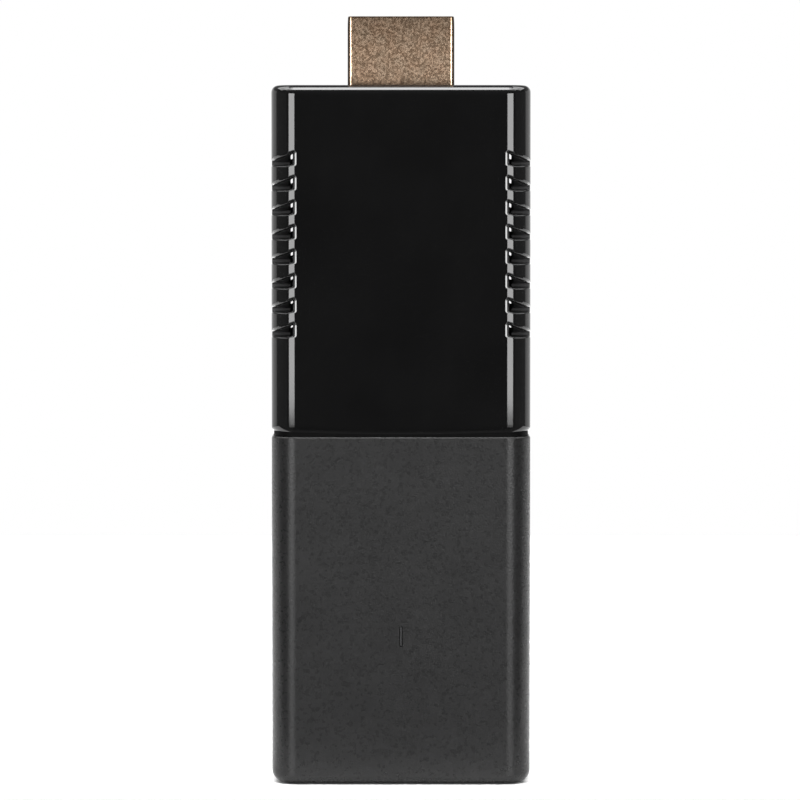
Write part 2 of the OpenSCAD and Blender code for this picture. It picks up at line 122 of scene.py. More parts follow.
VENT_COUNT = 8
VENT_PITCH = 3.17
VENT_START = 8.55
VENT_BACK_SHIFT = 0.85
VENT_INNER_X = 13.83
VENT_RIM = 1.2
VENT_SLOPE = 0.33
VENT_H = 1.9
VENT_LOW_DROP = 0.16
VENT_LOW_X = 14.85
VENT_SEE_X = 14.03
VENT_DRAFT = 0.12
VENT_EDGE_R = 0.13
VENT_UPPER_EDGE_R = 0.42
VENT_UPPER_INSET = 0.23
VENT_BEVEL = 0.04
VENT_INNER_BEVEL = 0.27
VENT_SIDE_FADE = 1.2
VENT_RIM_R = 0.25
VENT_LOW_R = 0.5
VENT_INNER_R = 0.1
VENT_CLEAR = 0.6

# A bevel wider than this is polished
WIDE_BEVEL = 0.2

TAIL_CORNER_R = 1.8
TAIL_EDGE_R = 1.2
TAIL_RIM_R = 0.25
TAIL_WALL = 1.4
TAIL_END_WALL = 1.6

# Angle at which an opening's bevel passes into its rounding, then edges as a radius and a bevel's width
EDGE_TILT = 0.16
SMALL_EDGE = (0.04, 0.01)
PLUG_EDGE = (0.12, 0.03)
INLET_EDGE = (0.15, 0.03)
PINHOLE_EDGE = (0.1, 0.02)

PLUG_SHEET = 0.35
PLUG_CORNER_R = 0.5
PLUG_TAPER_R = 0.7
PLUG_TAPER_W = 1.35
PLUG_TAPER_T = 1.25
PLUG_GAP = 0.15
PLUG_TIP_R = 0.16
PLUG_TIP_INNER_R = 0.12
PLUG_DRAW_L = 1.5
PLUG_DRAW_IN = 0.05
PLUG_DRAW_RUN = 1.4

USB_W = 7.9
USB_T = 2.9
USB_TAPER = 0.9
USB_CORNER_R = 0.45
PINHOLE_R = 0.6
PINHOLE_X = 9.6
PINHOLE_Y = -1.47
PINHOLE_STEPS = 28

PIPE_W = 0.2
PIPE_H = 2.53
PIPE_GAP = 0.1
PIPE_ROUNDING = 0.07
PIPE_PROUD = 0.02
PIPE_FOOT_W = 2.0
PIPE_FOOT_H = 3.8
PIPE_FOOT_R = 0.3
WINDOW_W = PIPE_W + 2 * PIPE_GAP
WINDOW_H = PIPE_H + 2 * PIPE_GAP
# Leaves a short straight between the two arcs of a pill's end
PILL_SLACK = 0.001

LABEL_R = 1.0
LABEL_GAP = 0.1
LABEL_ROUNDING = 0.03
RECESS_DEPTH = 0.12

# Rows over each rounding, rows per vent, steps round an opening's edge and clear space round an opening
TOP_STEPS = 7
LIP_STEPS = 8
RIM_STEPS = 3
END_STEPS = 8
VENT_ROWS = 8
MOUTH_STEPS = 4
OPENING_MARGIN = 0.12


# ------------ outlines

def unit(x, y):
    """Direction of (x, y), one long."""
    length = math.hypot(x, y)
    return x / length, y / length


def outline(corners, step, arc_step=0.14):
    """Closed outline through (x, y, radius) corners, anticlockwise, as (x, y, outward x, outward y)."""
    drawn = []
    count = len(corners)
    for i, (x, y, r) in enumerate(corners):
        last = corners[i - 1]
        following = corners[(i + 1) % count]
        ax, ay = unit(x - last[0], y - last[1])
        bx, by = unit(following[0] - x, following[1] - y)
        turn = math.atan2(ax * by - ay * bx, ax * bx + ay * by)
        start_angle = math.atan2(-ax, ay)
        if r == 0:
            middle = start_angle + turn / 2
            drawn.append((x, y, math.cos(middle), math.sin(middle)))
            continue
        cut = r * math.tan(turn / 2)
        cx = x - ax * cut - math.cos(start_angle) * r
        cy = y - ay * cut - math.sin(start_angle) * r
        steps = max(2, math.ceil(turn * r / arc_step), math.ceil(turn / 0.3))
        for k in range(steps + 1):
            a = start_angle + turn * k / steps
            drawn.append((cx + r * math.cos(a), cy + r * math.sin(a), math.cos(a), math.sin(a)))
    filled = []
    for i, here in enumerate(drawn):
        filled.append(here)
        after = drawn[(i + 1) % len(drawn)]
        gap = math.dist(here[:2], after[:2])
        pieces = math.ceil(gap / step)
        for k in range(1, pieces):
            t = k / pieces
            mixed = [a + (b - a) * t for a, b in zip(here, after)]
            filled.append((*mixed[:2], *unit(*mixed[2:])))
    return filled


def inside(x, y, loop):
    """Whether a point lies in a closed loop."""
    hit = False
    x0, y0 = loop[-1][:2]
    for point in loop:
        x1, y1 = point[:2]
        if (y0 > y) != (y1 > y) and x < (x1 - x0) * (y - y0) / (y1 - y0) + x0:
            hit = not hit
        x0, y0 = x1, y1
    return hit


def grown(loop, edges):
    """A loop moved outward by the whole width of its edge."""
    return [(x + nx * sum(e), y + ny * sum(e), nx, ny) for (x, y, nx, ny), e in zip(loop, edges)]


def rounded_box(w, h, r, x, y):
    """Corners of a rounded rectangle round (x, y), for outline()."""
    return [(x + w / 2, y - h / 2, r), (x + w / 2, y + h / 2, r),
            (x - w / 2, y + h / 2, r), (x - w / 2, y - h / 2, r)]


# ------------ skins

# Places in a gloss piece's materials after its outside, which is 0: moulded walls within, the neck in
# the groove, darkened with painted shade, and the polished bevels at the inner ends of the vents
MOULDED = 1
NECK = 2
POLISHED = 3


class Skin:
    """A mesh being made: points in millimetres, the outward normal at each, and faces."""

    def __init__(self):
        self.points = []
        self.normals = []
        self.finishes = []
        self.faces = []

    def point(self, place, finish=0):
        """Adds a point. A face takes the highest finish of its points, a place in its materials."""
        self.points.append(tuple(place[0]))
        self.normals.append(tuple(place[1]))
        self.finishes.append(finish)
        return len(self.points) - 1

    def line(self, places, finish=0):
        return [self.point(p, finish) for p in places]

    def facing(self, ring, normal, finish=0):
        """The same places as a ring's, as new points that all face one way."""
        return [self.point((self.points[p], normal), finish) for p in ring]

    def strip(self, a, b, closed=False):
        count = len(a)
        for i in range(count if closed else count - 1):
            j = (i + 1) % count
            self.faces.append((a[i], a[j], b[j], b[i]))

    def strips(self, rings, closed=True):
        """Strips between each ring and the next."""
        for a, b in zip(rings, rings[1:]):
            self.strip(a, b, closed)

    def fill(self, ring, loop):
        """Flat sheet inside one ring, whose plane outline is loop."""
        self.sheet({p: q[:2] for p, q in zip(ring, loop)}, [edge_pairs(ring)],
                   lambda x, y: inside(x, y, loop))

    def sheet(self, flat, rings, keep):
        """Triangles between rings of points; flat gives each point's plane position."""
        index = list(flat)
        where = {p: i for i, p in enumerate(index)}
        edges = [(where[a], where[b]) for ring in rings for a, b in ring]
        made = delaunay_2d_cdt([Vector(flat[p]) for p in index], edges, [], 0, 1e-6)
        verts, _, faces, origin = made[:4]
        for face in faces:
            middle = sum((verts[v] for v in face), Vector((0, 0))) / len(face)
            if keep(middle.x, middle.y):
                self.faces.append(tuple(index[origin[v][0]] for v in face))

    def cap(self, outer, holes):
        """Flat sheet in X and Y inside one ring of points and outside others."""
        rings = [outer, *holes]
        flat = {p: self.points[p][:2] for ring in rings for p in ring}
        loops = [[flat[p] for p in ring] for ring in rings]
        self.sheet(flat, [edge_pairs(ring) for ring in rings], lambda x, y: inside(x, y, loops[0])
                   and not any(inside(x, y, loop) for loop in loops[1:]))

    def build(self, name):
        """Blender object of the skin, every face turned to agree with its points' normals."""
        faces = []
        for face in self.faces:
            a, b, c = (Vector(self.points[face[i]]) for i in (0, 1, 2))
            facing = (b - a).cross(c - a)
            if len(face) == 4:
                d = Vector(self.points[face[3]])
                facing += (c - a).cross(d - a)
            outward = sum((Vector(self.normals[p]) for p in face), Vector())
            faces.append(face if facing.dot(outward) >= 0 else tuple(reversed(face)))
        mesh = bpy.data.meshes.new(name)
        mesh.from_pydata([Vector(p) * MM for p in self.points], [], faces)
        mesh.polygons.foreach_set("use_smooth", [True] * len(faces))
        finishes = [max(self.finishes[p] for p in face) for face in faces]
        mesh.polygons.foreach_set("material_index", finishes)
        mesh.normals_split_custom_set_from_vertices([Vector(n).normalized() for n in self.normals])
        mesh.update()
        made = bpy.data.objects.new(name, mesh)
        scene.collection.objects.link(made)
        return made


def edge_pairs(ring):
    """The ring's edges, each as a pair of neighbours."""
    return list(zip(ring, ring[1:] + ring[:1]))


# ------------ the housing's section

SIDE_RUN = HALF_T - SHOULDER_R
ARC_RUN = SHOULDER_R * QUARTER_TURN
FACE_RUN = HALF_W - SHOULDER_R
QUARTER = SIDE_RUN + ARC_RUN + FACE_RUN
HALF_ROUND = 2 * QUARTER


def section(u):
    """Point and outward direction at u, the way round from the middle of the +X side over the front."""
    quarter = min(int(u / QUARTER), 3)
    run = u - quarter * QUARTER
    if quarter % 2:
        run = QUARTER - run
    sx = 1 if quarter in (0, 3) else -1
    sy = -1 if quarter < 2 else 1
    if run < SIDE_RUN:
        x, y, nx, ny = HALF_W, run, 1.0, 0.0
    elif run < SIDE_RUN + ARC_RUN:
        a = (run - SIDE_RUN) / SHOULDER_R
        nx, ny = math.cos(a), math.sin(a)
        x, y = FACE_RUN + SHOULDER_R * nx, SIDE_RUN + SHOULDER_R * ny
    else:
        x, y, nx, ny = QUARTER - run, HALF_T, 0.0, 1.0
    return sx * x, sy * y, sx * nx, sy * ny


def level(z, inset=0.0, tilt=0.0):
    """A row of the skin at one height; a row gives height, inset and upward tilt of the normal."""
    return lambda nx, ny, x: (z, inset, tilt)


def rounded_end(z, out, angle, side_r, face_r):
    """A row at an angle round an end's edge, out +1 at the top end and -1 at the bottom end."""
    def row(nx, ny, x):
        r = side_r * nx * nx + face_r * ny * ny
        return z - out * r * (1 - math.sin(angle)), r * (1 - math.cos(angle)), out * angle
    return row


def lip_row(share):
    """A row at a share of the gloss rim's rounding; the rim bows down to the middle of each face."""
    def row(nx, ny, x):
        tall = LIP_SIDE_H * nx * nx + LIP_FACE_H * ny * ny
        turn = 2 * math.atan2(GROOVE_DEPTH, tall)
        r = tall / math.sin(turn)
        rim = LIP_SIDE_Z - LIP_SAG * (1 - (x / HALF_W) ** 2)
        return rim + tall - r * math.sin(turn * share), r * (1 - math.cos(turn * share)), -turn * share
    return row


def neck_row(down):
    """A row of the neck, a little below the gloss rim."""
    return lambda nx, ny, x: (LIP_SIDE_Z - LIP_SAG * (1 - (x / HALF_W) ** 2) - down, GROOVE_DEPTH, 0)


def on_section(u, row, depth=0.0, lean=0.0):
    """Position and normal on the outer skin, depth below it, the normal leant along the way round."""
    x, y, nx, ny = section(u)
    z, inset, tilt = row(nx, ny, x)
    flat = math.cos(tilt)
    normal = Vector((nx * flat, ny * flat, math.sin(tilt)))
    along = Vector((ny, -nx, 0))
    co = Vector((x - nx * inset, y - ny * inset, z)) - normal * depth
    return co, normal * math.cos(lean) + along * math.sin(lean)


def inner_depth(u):
    """Wall thickness of the gloss half shells at u."""
    _, _, nx, ny = section(u)
    return SIDE_WALL * nx * nx + FACE_WALL * ny * ny


def inner_point(u, z):
    """Position on the inside of the gloss half shells, facing the cavity."""
    x, y, nx, ny = section(u)
    spigot = min(max((LIP_SIDE_Z + SPIGOT_BLEND_UP - z) / SPIGOT_BLEND_L, 0), 1)
    depth = inner_depth(u) * (1 - spigot) + (SPIGOT_INSET + SPIGOT_WALL) * spigot
    return Vector((x - nx * depth, y - ny * depth, z)), Vector((-nx, -ny, 0))


def on_skin(u, z, depth):
    """Position, normal and the two directions along the straight part of the outer skin."""
    x, y, nx, ny = section(u)
    normal = Vector((nx, ny, 0))
    return Vector((x, y, z)) - normal * depth, normal, Vector((ny, -nx, 0)), Vector((0, 0, 1))


def on_end(z, out):
    """The same for a flat end face at a height, out +1 for one that faces up."""
    def place(x, y, depth):
        normal = Vector((0, 0, out))
        return Vector((x, y, z)) - normal * depth, normal, Vector((1, 0, 0)), Vector((0, 1, 0))
    return place


def mouth(skin, loop, place, edges, closed=True):
    """Edge round an opening: a slight bevel and then a rounding. loop is the opening's wall line, and
    edges gives the radius and bevel width at each of its points. Returns the first and last rings."""
    rings = []
    for k in range(MOUTH_STEPS + 1):
        a = EDGE_TILT + (QUARTER_TURN - EDGE_TILT) * (k - 1) / (MOUTH_STEPS - 1) if k else 0
        ring = []
        for (x, y, nx, ny), (radius, bevel) in zip(loop, edges):
            out = radius * (1 - math.sin(a)) + (0 if k else bevel)
            depth = 0
            if k:
                depth = (bevel + radius * math.sin(EDGE_TILT)) * math.tan(EDGE_TILT / 2)
                depth += radius * (math.cos(EDGE_TILT) - math.cos(a))
            co, normal, along_x, along_y = place(x + nx * out, y + ny * out, depth)
            lateral = along_x * nx + along_y * ny
            finish = POLISHED if k == 1 and bevel > WIDE_BEVEL else 0
            ring.append(skin.point((co, normal * math.cos(a) - lateral * math.sin(a)), finish))
        if rings:
            skin.strip(rings[-1], ring, closed)
        rings.append(ring)
    return rings[0], rings[-1]


def wall_down(skin, ring, places, closed=True, finish=0):
    """Straight wall from a ring to given positions, keeping the ring's normals; returns the new ring."""
    new = [skin.point((co, skin.normals[p]), finish) for p, co in zip(ring, places)]
    skin.strip(ring, new, closed)
    return new


class Grid:
    """Rows and columns over a skin, with blocks taken out for openings."""

    def __init__(self, skin, us, zs, place, closed, finish_from=math.inf, finish=0):
        self.skin = skin
        self.us = us
        self.zs = zs
        self.place = place
        self.closed = closed
        self.finish_from = finish_from
        self.finish = finish
        self.ids = {}
        self.taken = set()

    def at(self, r, c):
        if self.closed:
            c %= len(self.us)
        if (r, c) not in self.ids:
            finish = self.finish if r >= self.finish_from else 0
            self.ids[r, c] = self.skin.point(self.place(r, c), finish)
        return self.ids[r, c]

    def row(self, r):
        return [self.at(r, c) for c in range(len(self.us))]

    def column(self, c):
        return [self.at(r, c) for r in range(len(self.zs))]

    def opening(self, loop, first):
        """Triangles round an opening whose surface ring is first and whose (u, z) line is loop."""
        low_u = min(p[0] for p in loop) - OPENING_MARGIN
        high_u = max(p[0] for p in loop) + OPENING_MARGIN
        low_z = min(p[1] for p in loop) - OPENING_MARGIN
        high_z = max(p[1] for p in loop) + OPENING_MARGIN
        c0 = max(i for i, u in enumerate(self.us) if u < low_u)
        c1 = min(i for i, u in enumerate(self.us) if u > high_u)
        r0 = max(i for i, z in enumerate(self.zs) if z > high_z)
        r1 = min(i for i, z in enumerate(self.zs) if z < low_z)
        flat = {}
        for r in range(r0, r1 + 1):
            for c in range(c0, c1 + 1):
                u, z = self.us[c], self.zs[r]
                edge = r in (r0, r1) or c in (c0, c1)
                if edge or (not inside(u, z, loop)
                            and min(math.dist((u, z), p[:2]) for p in loop) > OPENING_MARGIN):
                    flat[self.at(r, c)] = (u, z)
        border = ([self.at(r0, c) for c in range(c0, c1)] + [self.at(r, c1) for r in range(r0, r1)]
                  + [self.at(r1, c) for c in range(c1, c0, -1)]
                  + [self.at(r, c0) for r in range(r1, r0, -1)])
        flat.update({p: q[:2] for p, q in zip(first, loop)})
        self.skin.sheet(flat, [edge_pairs(border), edge_pairs(first)],
                        lambda x, y: not inside(x, y, loop))
        self.taken.update((r, c) for r in range(r0, r1) for c in range(c0, c1))

    def fill(self):
        columns = len(self.us) if self.closed else len(self.us) - 1
        for r in range(len(self.zs) - 1):
            for c in range(columns):
                if (r, c) not in self.taken:
                    self.skin.faces.append((self.at(r, c), self.at(r, c + 1),
                                            self.at(r + 1, c + 1), self.at(r + 1, c)))


def spaced(low, high, step):
    """Evenly spaced values from low up to but not including high."""
    count = max(1, round((high - low) / step))
    return [low + (high - low) * k / count for k in range(count)]


def quarter_columns():
    """Column places over a quarter of the section, from the side's middle to the face's middle."""
    return (spaced(0.3, SIDE_RUN, 0.6) + spaced(SIDE_RUN, SIDE_RUN + ARC_RUN, 0.26)
            + spaced(SIDE_RUN + ARC_RUN, SIDE_RUN + ARC_RUN + 1.2, 0.4)
            + spaced(SIDE_RUN + ARC_RUN + 1.2, QUARTER, 1.1))


# ------------ gloss half shells

def vent_loop(low, inner_u):
    """Wall line of the highest slot in (u, z), on the +X front quarter, for an inner end at inner_u."""
    step = 0.35
    start = inner_u - 0.5
    samples = [start - step * k for k in range(int((start - SIDE_RUN) / step) + 1)]

    def upper(u):
        return low - VENT_UPPER_INSET - VENT_SLOPE * (section(u)[0] - VENT_INNER_X)

    side_top = upper(SIDE_RUN)
    low_u = SIDE_RUN + SHOULDER_R * math.acos((VENT_LOW_X - FACE_RUN) / SHOULDER_R)
    corners = [(VENT_RIM, low - VENT_H, VENT_RIM_R), (low_u, low - VENT_H - 0.08, VENT_LOW_R),
               (inner_u, low - VENT_H + VENT_LOW_DROP, VENT_INNER_R),
               (inner_u, upper(inner_u), VENT_INNER_R)]
    corners += [(u, upper(u), 0) for u in samples]
    corners += [(SIDE_RUN, side_top, 0), (VENT_RIM, side_top, VENT_RIM_R)]
    return outline(corners, 0.3)


def inner_u_for(target, place):
    """The u on the shoulder where place(u) gives an X of target."""
    low, high = SIDE_RUN, SIDE_RUN + ARC_RUN
    for _ in range(40):
        middle = (low + high) / 2
        if place(middle) > target:
            low = middle
        else:
            high = middle
    return low


VENT_OUTER_U = inner_u_for(VENT_INNER_X, lambda u: section(u)[0])
VENT_SEE_U = inner_u_for(VENT_SEE_X, lambda u: inner_point(u, 0)[0].x)


def half_shell(name, start_u, shift):
    """One gloss half shell with its vents, its half of the plug opening, its neck and its spigot."""
    skin = Skin()
    quarter = quarter_columns()
    inner_us = quarter + [QUARTER] + [HALF_ROUND - u for u in reversed(quarter)]
    bevel = SEAM_BEVEL
    part = bevel * (1 - math.sin(QUARTER_TURN / 2))
    columns = [(0, bevel, -QUARTER_TURN), (part, part, -QUARTER_TURN / 2), (bevel, 0, 0)]
    columns += [(u, 0, 0) for u in inner_us]
    columns += [(HALF_ROUND - u, depth, -lean) for u, depth, lean in reversed(columns[:3])]

    # zs holds the rows' heights in the plane where the openings are cut
    block_top = -VENT_START + shift + VENT_CLEAR
    block_low = block_top - VENT_COUNT * VENT_PITCH
    cell = [k * VENT_PITCH / VENT_ROWS for k in range(VENT_ROWS * VENT_COUNT)]
    rows = [rounded_end(0, 1, QUARTER_TURN * (1 - k / TOP_STEPS), TOP_CORNER_R, TOP_EDGE_R)
            for k in range(TOP_STEPS + 1)]
    zs = [-1.2 * (k + 1) / (TOP_STEPS + 2) for k in range(TOP_STEPS + 1)]
    straight = [-1.6, -2.4, *spaced(-3.6, block_top, 1.5)] + [block_top - d for d in cell]
    straight += [*spaced(block_low, LIP_SIDE_Z + 2, 1.6), LIP_SIDE_Z + 2]
    rows += [level(z) for z in straight]
    zs += straight
    for k in range(LIP_STEPS + 1):
        rows.append(lip_row(k / LIP_STEPS))
        zs.append(LIP_SIDE_Z + 1 - k / LIP_STEPS)
    neck_start = len(rows)
    rows.append(neck_row(0.02))
    zs.append(LIP_SIDE_Z - 0.02)
    for z, inset, tilt in ((TAIL_TOP - 0.02, GROOVE_DEPTH, 0),
                           (TAIL_TOP - 0.04, GROOVE_DEPTH + 0.05, -1.5),
                           (TAIL_TOP - 0.05, SPIGOT_INSET - 0.05, -1.5),
                           (TAIL_TOP - 0.1, SPIGOT_INSET, 0),
                           (SPIGOT_END + 0.3, SPIGOT_INSET, 0),
                           (SPIGOT_END, SPIGOT_INSET + 0.2, -0.7)):
        rows.append(level(z, inset, tilt))
        zs.append(z)

    def place(r, c):
        u, depth, lean = columns[c]
        return on_section(start_u + u, rows[r], depth, lean)

    outer = Grid(skin, [u for u, _, _ in columns], zs, place, False, neck_start, NECK)

    def inner_z(z):
        return z if z < -TOP_WALL - 0.2 else -TOP_WALL + 0.1 * z

    inner_zs = [inner_z(z) for z in zs]
    inner_columns = [0.0] + inner_us + [HALF_ROUND]

    def inner_place(r, c):
        return inner_point(start_u + inner_columns[c], inner_zs[r])

    inner = Grid(skin, inner_columns, inner_zs, inner_place, False, 0, MOULDED)

    base_loop = vent_loop(-VENT_START + shift, VENT_OUTER_U)
    edges = [(VENT_EDGE_R + (VENT_UPPER_EDGE_R - VENT_EDGE_R) * max(nz, 0) ** 2
              * min(max(u - SIDE_RUN, 0) / VENT_SIDE_FADE, 1),
              VENT_BEVEL + (VENT_INNER_BEVEL - VENT_BEVEL) * max(nu, 0) ** 2)
             for u, _, nu, nz in base_loop]
    squeeze = (VENT_SEE_U - VENT_RIM) / (VENT_OUTER_U - VENT_RIM)
    base_inner = [(VENT_RIM + (u - VENT_RIM) * squeeze, z - VENT_DRAFT * nz, nu, nz)
                  for u, z, nu, nz in base_loop]
    for k in range(VENT_COUNT):
        for mirrored in (False, True):
            def moved(loop):
                lower = [(x, y - k * VENT_PITCH, nx, ny) for x, y, nx, ny in loop]
                if mirrored:
                    lower = [(HALF_ROUND - x, y, -nx, ny) for x, y, nx, ny in lower]
                return lower

            loop = moved(base_loop)
            inner_loop = moved(base_inner)
            first, last = mouth(skin, loop, lambda u, z, d: on_skin(start_u + u, z, d), edges)
            wall_down(skin, last, [inner_point(start_u + u, z)[0] for u, z, _, _ in inner_loop],
                      finish=MOULDED)
            outer.opening(grown(loop, edges), first)
            ring = skin.line((inner_point(start_u + u, z) for u, z, _, _ in inner_loop), MOULDED)
            inner.opening(inner_loop, ring)
    outer.fill()
    inner.fill()

    front = start_u == 0
    half = [p for p in outline(plug_corners(), 0.5) if (p[1] <= 1e-6 if front else p[1] >= -1e-6)]
    half.sort(key=lambda p: p[0] if front else -p[0])
    half = [(x + nx * PLUG_GAP, y + ny * PLUG_GAP, nx, ny) for x, y, nx, ny in half]
    side = -1 if front else 1
    half[0] = (half[0][0], side * bevel, half[0][2], 0)
    half[-1] = (half[-1][0], side * bevel, half[-1][2], 0)
    first, last = mouth(skin, half, on_end(0, 1), [PLUG_EDGE] * len(half), closed=False)
    top = outer.row(0)
    skin.cap(top[2:-2] + first, [])
    bottom = wall_down(skin, last, [Vector((x, y, -TOP_WALL)) for x, y, _, _ in half], closed=False)
    downward = (0, 0, -1)
    skin.cap(skin.facing(inner.row(0), downward, MOULDED) + skin.facing(bottom, downward, MOULDED), [])
    for c, edge in ((0, first[-1]), (len(columns) - 1, first[0])):
        outer_end = skin.points[outer.at(0, c)]
        x1 = skin.points[edge][0]
        step = 2 if c == 0 else -2
        lines = [[outer.at(0, c + step), edge]]
        for depth, lean in ((part, QUARTER_TURN / 2), (bevel, QUARTER_TURN)):
            y = side * (part if depth == part else 0)
            normal = (0, -side * math.sin(lean), math.cos(lean))
            lines.append([skin.point(((outer_end[0], y, -depth), normal)),
                          skin.point(((x1, y, -depth), normal))])
        skin.strips(lines, closed=False)
    seam_normal = (0, -side, 0)
    for c, ic in ((0, 0), (len(columns) - 1, len(inner_columns) - 1)):
        skin.strip(skin.facing(outer.column(c), seam_normal, MOULDED),
                   skin.facing(inner.column(ic), seam_normal, MOULDED))
    last_row = len(zs) - 1
    outer_foot = skin.facing(outer.row(last_row)[2:-2], downward, MOULDED)
    inner_foot = skin.facing(inner.row(last_row), downward, MOULDED)
    skin.cap(outer_foot + inner_foot[::-1], [])
    return skin.build(name)


# ------------ plug

def plug_corners():
    """Corners of the plug's outline, anticlockwise, with points on the middle plane of each side."""
    w = plug_high.x
    t = plug_high.y
    r = PLUG_TAPER_R
    return [(w, -t, PLUG_CORNER_R), (w, 0, 0), (w, t - PLUG_TAPER_T, r), (w - PLUG_TAPER_W, t, r),
            (-w + PLUG_TAPER_W, t, r), (-w, t - PLUG_TAPER_T, r), (-w, 0, 0), (-w, -t, PLUG_CORNER_R)]


def plug_shell():
    """Drawn plug shell, drawn in a little towards its rolled tip."""
    skin = Skin()
    loop = outline(plug_corners(), 0.6, 0.08)
    tip = plug_high.z
    low = plug_low.z
    outer_r = PLUG_TIP_R
    inner_r = PLUG_TIP_INNER_R
    profile = [(low, 0.0, 0.0)]
    profile += [(z, 0.0, 0.0) for z in spaced(low + 0.5, tip - PLUG_DRAW_L, 1.2)]
    for k in range(5):
        t = k / 4
        profile.append((tip - PLUG_DRAW_L + (PLUG_DRAW_L - outer_r) * t, PLUG_DRAW_IN * t * t,
                        2 * PLUG_DRAW_IN * t / PLUG_DRAW_RUN))
    for k in range(1, 5):
        a = QUARTER_TURN * k / 4
        profile.append((tip - outer_r * (1 - math.sin(a)),
                        PLUG_DRAW_IN + outer_r * (1 - math.cos(a)), a))
    for k in range(5):
        a = QUARTER_TURN * k / 4
        profile.append((tip - inner_r * (1 - math.cos(a)), PLUG_SHEET - inner_r + PLUG_DRAW_IN
                        + inner_r * math.sin(a), QUARTER_TURN + a))
    profile.append((low, PLUG_SHEET, math.pi))
    rings = []
    for z, inset, tilt in profile:
        flat = math.cos(tilt)
        rings.append(skin.line((Vector((x - nx * inset, y - ny * inset, z)),
                                Vector((nx * flat, ny * flat, math.sin(tilt))))
                               for x, y, nx, ny in loop))
    skin.strips(rings)
    skin.cap(skin.facing(rings[0], (0, 0, -1)), [skin.facing(rings[-1], (0, 0, -1))])
    return skin.build("plug_shell")


# ------------ tail

def tail():
    """Matte one-piece tail with its window, label recess, inlet opening and pinhole."""
    skin = Skin()
    quarter = [0.0] + quarter_columns()
    near = quarter + [QUARTER] + [HALF_ROUND - u for u in reversed(quarter[1:])]
    us = near + [HALF_ROUND + u for u in near]
    window_z = (pipe_low.z + pipe_high.z) / 2
    label_z = (label_low.z + label_high.z) / 2
    rows = [level(TAIL_TOP, TAIL_WALL, QUARTER_TURN)]
    zs = [TAIL_TOP + 0.3]
    for k in range(RIM_STEPS + 1):
        rows.append(rounded_end(TAIL_TOP, 1, QUARTER_TURN * (1 - k / RIM_STEPS), TAIL_RIM_R, TAIL_RIM_R))
        zs.append(TAIL_TOP + 0.2 - 0.05 * k)
    straight = [TAIL_TOP - 0.5, TAIL_TOP - 1.2, *spaced(TAIL_TOP - 2.4, TAIL_END + 3, 2.0),
                TAIL_END + 2.2]
    rows += [level(z) for z in straight]
    zs += straight
    for k in range(END_STEPS + 1):
        rows.append(rounded_end(TAIL_END, -1, QUARTER_TURN * k / END_STEPS, TAIL_CORNER_R, TAIL_EDGE_R))
        zs.append(TAIL_END + 1.8 - 0.2 * k)

    outer = Grid(skin, us, zs, lambda r, c: on_section(us[c], rows[r]), True)

    window = outline(rounded_box(WINDOW_W, WINDOW_H, WINDOW_W / 2 - PILL_SLACK, QUARTER, window_z),
                     0.4, 0.06)
    edges = [SMALL_EDGE] * len(window)
    first, last = mouth(skin, window, on_skin, edges)
    wall_down(skin, last, [on_skin(u, z, TAIL_WALL)[0] for u, z, _, _ in window])
    outer.opening(grown(window, edges), first)

    recess = outline(rounded_box(label_high.x * 2 + 2 * LABEL_GAP,
                                 label_high.z - label_low.z + 2 * LABEL_GAP, LABEL_R + LABEL_GAP,
                                 3 * QUARTER, label_z), 1.2, 0.2)
    edges = [SMALL_EDGE] * len(recess)
    first, last = mouth(skin, recess, on_skin, edges)
    bed = wall_down(skin, last, [on_skin(u, z, RECESS_DEPTH)[0] for u, z, _, _ in recess])
    skin.fill(skin.facing(bed, (0, 1, 0)), recess)
    outer.opening(grown(recess, edges), first)
    outer.fill()

    inner_zs = [TAIL_TOP, (TAIL_TOP + TAIL_END) / 2, TAIL_END + TAIL_END_WALL]
    inner_rings = []
    for z in inner_zs:
        ring = []
        for u in us:
            x, y, nx, ny = section(u)
            co = Vector((x - nx * TAIL_WALL, y - ny * TAIL_WALL, z))
            ring.append(skin.point((co, Vector((-nx, -ny, 0)))))
        inner_rings.append(ring)
    skin.strips(inner_rings)

    w = USB_W / 2
    t = USB_T / 2
    r = USB_CORNER_R
    inlet = outline([(w, -t, r), (w, t - USB_TAPER, r), (w - USB_TAPER, t, r), (-w + USB_TAPER, t, r),
                     (-w, t - USB_TAPER, r), (-w, -t, r)], 0.5, 0.1)
    turns = [2 * math.pi * k / PINHOLE_STEPS for k in range(PINHOLE_STEPS)]
    pinhole = [(PINHOLE_X + PINHOLE_R * math.cos(a), PINHOLE_Y + PINHOLE_R * math.sin(a),
                math.cos(a), math.sin(a)) for a in turns]
    outer_holes = []
    inner_holes = []
    for loop, edge in ((inlet, INLET_EDGE), (pinhole, PINHOLE_EDGE)):
        first, last = mouth(skin, loop, on_end(TAIL_END, -1), [edge] * len(loop))
        low = wall_down(skin, last, [Vector((x, y, TAIL_END + TAIL_END_WALL)) for x, y, _, _ in loop])
        outer_holes.append(first)
        inner_holes.append(skin.facing(low, (0, 0, 1)))
    skin.cap(outer.row(len(zs) - 1), outer_holes)
    skin.cap(skin.facing(inner_rings[-1], (0, 0, 1)), inner_holes)
    return skin.build("tail")


